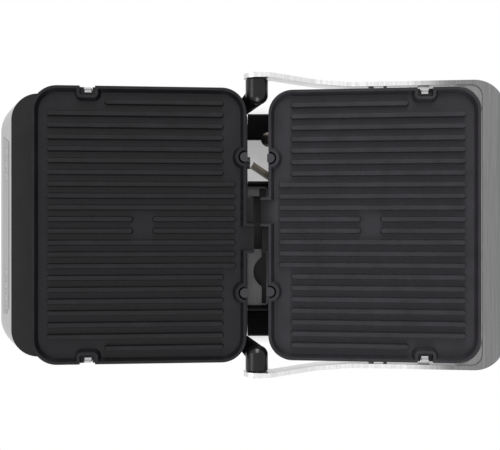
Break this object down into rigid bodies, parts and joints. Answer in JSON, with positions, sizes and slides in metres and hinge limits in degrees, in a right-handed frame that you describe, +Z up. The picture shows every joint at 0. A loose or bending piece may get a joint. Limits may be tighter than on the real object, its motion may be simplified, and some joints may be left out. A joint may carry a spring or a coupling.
{
  "type": "electric contact grill",
  "caption": "Electric contact grill with two ribbed plates, opened flat, with a U shaped handle frame, floating lid, drip tray and push buttons.",
  "frame": {"origin": "middle of the opened grill on the surface that it stands on", "axes": "+X to the right seen from the front, +Y to the rear, towards the opened lid, +Z up"},
  "size_m": [0.3242, 0.5482, 0.0978],
  "materials": {
    "black_plastic": "satin",
    "panel_metal": "brushed",
    "button": "satin",
    "nonstick": "satin",
    "black_metal": "semi gloss",
    "brushed_aluminium": "brushed",
    "steel": "polished",
    "sheet_aluminium": "satin",
    "brushed_steel": "brushed",
    "rubber": "matt",
    "circuit_board": "satin",
    "grey_plastic": "satin",
    "spring_steel": "bright",
    "wire_sleeve": "matt"
  },
  "bodies": {
    "base": {"base_bottom": "black_plastic", "base_conduit_bush": "black_plastic", "base_screws": "steel", "base_shell": "black_plastic", "conduit_wires": "wire_sleeve", "control_board": "circuit_board", "control_inlay": "panel_metal", "cord_gland": "rubber", "front_panel": "panel_metal", "hinge_knuckle_left": "black_metal", "hinge_knuckle_right": "black_metal", "hinge_pins": "steel", "lower_heater": "steel", "lower_latch_pins": "steel", "lower_plate": "nonstick", "lower_plate_posts": "black_metal", "lower_reflector": "sheet_aluminium", "lower_sensor": "steel", "power_board": "circuit_board", "rear_leg_left": "black_plastic", "rear_leg_right": "black_plastic", "rubber_feet": "rubber", "tray_guide": "black_plastic", "wire_conduit": "spring_steel"},
    "frame": {"handle_frame": "brushed_aluminium", "pivot_pins": "steel"},
    "lid": {"conduit_elbow": "spring_steel", "lid_conduit_bush": "black_plastic", "lid_cover": "brushed_steel", "lid_housing": "black_plastic", "lid_stop_pins": "steel", "upper_heater": "steel", "upper_latch_pins": "steel", "upper_plate": "nonstick", "upper_plate_posts": "black_metal", "upper_reflector": "sheet_aluminium", "upper_sensor": "steel"},
    "button_1_body": {"button_1": "button"},
    "button_2_body": {"button_2": "button"},
    "button_3_body": {"button_3": "button"},
    "button_4_body": {"button_4": "button"},
    "button_5_body": {"button_5": "button"},
    "button_6_body": {"button_6": "button"},
    "button_7_body": {"button_7": "button"},
    "tray": {"drip_tray": "grey_plastic"},
    "lower_latch_left_body": {"lower_latch_left": "steel"},
    "lower_latch_right_body": {"lower_latch_right": "steel"},
    "upper_latch_left_body": {"upper_latch_left": "steel"},
    "upper_latch_right_body": {"upper_latch_right": "steel"}
  },
  "joints": [
    {"name": "frame_hinge", "type": "hinge", "parent": "base", "child": "frame", "pos_m": [0, 0.01313, 0.0703], "axis": [1, 0, 0], "range_deg": [0, 165.5], "deforming": ["wire_conduit", "conduit_wires"]},
    {"name": "lid_float", "type": "hinge", "parent": "frame", "child": "lid", "pos_m": [0, 0.13743, 0.05492], "axis": [1, 0, 0], "range_deg": [0, 6]},
    {"name": "tray_slide", "type": "slide", "parent": "base", "child": "tray", "axis": [0, 1, 0], "range_m": [0, 0.07]},
    {"name": "lower_latch_left_swing", "type": "hinge", "parent": "base", "child": "lower_latch_left_body", "pos_m": [-0.143, -0.1652, 0.07196], "axis": [0, -0.9962, 0.0866], "range_deg": [0, 10], "stiffness_Nm_per_rad": 0.3},
    {"name": "lower_latch_right_swing", "type": "hinge", "parent": "base", "child": "lower_latch_right_body", "pos_m": [0.143, -0.1652, 0.07196], "axis": [0, 0.9962, -0.0866], "range_deg": [0, 10], "stiffness_Nm_per_rad": 0.3},
    {"name": "upper_latch_left_swing", "type": "hinge", "parent": "lid", "child": "upper_latch_left_body", "pos_m": [-0.143, 0.19297, 0.06219], "axis": [0, -0.9937, -0.112], "range_deg": [0, 10], "stiffness_Nm_per_rad": 0.3},
    {"name": "upper_latch_right_swing", "type": "hinge", "parent": "lid", "child": "upper_latch_right_body", "pos_m": [0.143, 0.19297, 0.06219], "axis": [0, 0.9937, 0.112], "range_deg": [0, 10], "stiffness_Nm_per_rad": 0.3},
    {"name": "button_1_push", "type": "slide", "parent": "base", "child": "button_1_body", "axis": [0, 0.8833, -0.4687], "range_m": [0, 0.0008], "stiffness_N_per_m": 400},
    {"name": "button_2_push", "type": "slide", "parent": "base", "child": "button_2_body", "axis": [0, 0.8833, -0.4687], "range_m": [0, 0.0008], "stiffness_N_per_m": 400},
    {"name": "button_3_push", "type": "slide", "parent": "base", "child": "button_3_body", "axis": [0, 0.8833, -0.4687], "range_m": [0, 0.0008], "stiffness_N_per_m": 400},
    {"name": "button_4_push", "type": "slide", "parent": "base", "child": "button_4_body", "axis": [0, 0.8833, -0.4687], "range_m": [0, 0.0008], "stiffness_N_per_m": 400},
    {"name": "button_5_push", "type": "slide", "parent": "base", "child": "button_5_body", "axis": [0, 0.8833, -0.4687], "range_m": [0, 0.0008], "stiffness_N_per_m": 400},
    {"name": "button_6_push", "type": "slide", "parent": "base", "child": "button_6_body", "axis": [0, 0.8833, -0.4687], "range_m": [0, 0.0008], "stiffness_N_per_m": 400},
    {"name": "button_7_push", "type": "slide", "parent": "base", "child": "button_7_body", "axis": [0, 0.8833, -0.4687], "range_m": [0, 0.0008], "stiffness_N_per_m": 400}
  ]
}
